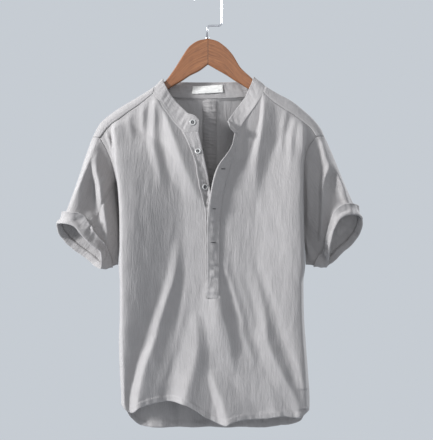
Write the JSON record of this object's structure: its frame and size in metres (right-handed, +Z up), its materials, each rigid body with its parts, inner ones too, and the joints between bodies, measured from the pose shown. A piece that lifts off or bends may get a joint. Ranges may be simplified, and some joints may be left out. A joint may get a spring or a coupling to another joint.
{
  "type": "short-sleeved band-collar shirt on a hanger",
  "caption": "Short-sleeved linen popover shirt with a band collar and an open half placket, turned-up cuffs and a curved hem, hanging on a wooden hanger with a squared metal hook.",
  "frame": {"origin": "underside of the hook's top bar, where a rail carries the hanger, in the middle of the hanger", "axes": "+Z up, -Y out of the shirt's front, +X to the right as the front is seen"},
  "size_m": [0.647, 0.1313, 0.934],
  "materials": {
    "cloth": "matt crinkled linen weave, light neutral grey",
    "buttons": "pale rim, darker dished middle, satin",
    "label": "white woven ribbon, blank",
    "hanger_wood": "light brown wood, clear satin lacquer",
    "hook_metal": "bright polished steel"
  },
  "bodies": {
    "root": {"front": "cloth", "back": "cloth", "back_strip": "cloth", "sleeve_left": "cloth", "sleeve_right": "cloth", "cuff_left": "cloth", "cuff_right": "cloth", "collar_band": "cloth", "placket_left": "cloth", "placket_right": "cloth", "button_collar": "buttons", "button_1": "buttons", "button_2": "buttons", "button_3": "buttons", "button_4": "buttons", "label": "label", "hanger_left": "hanger_wood", "hanger_right": "hanger_wood", "hanger_hook": "hook_metal"}
  },
  "joints": []
}
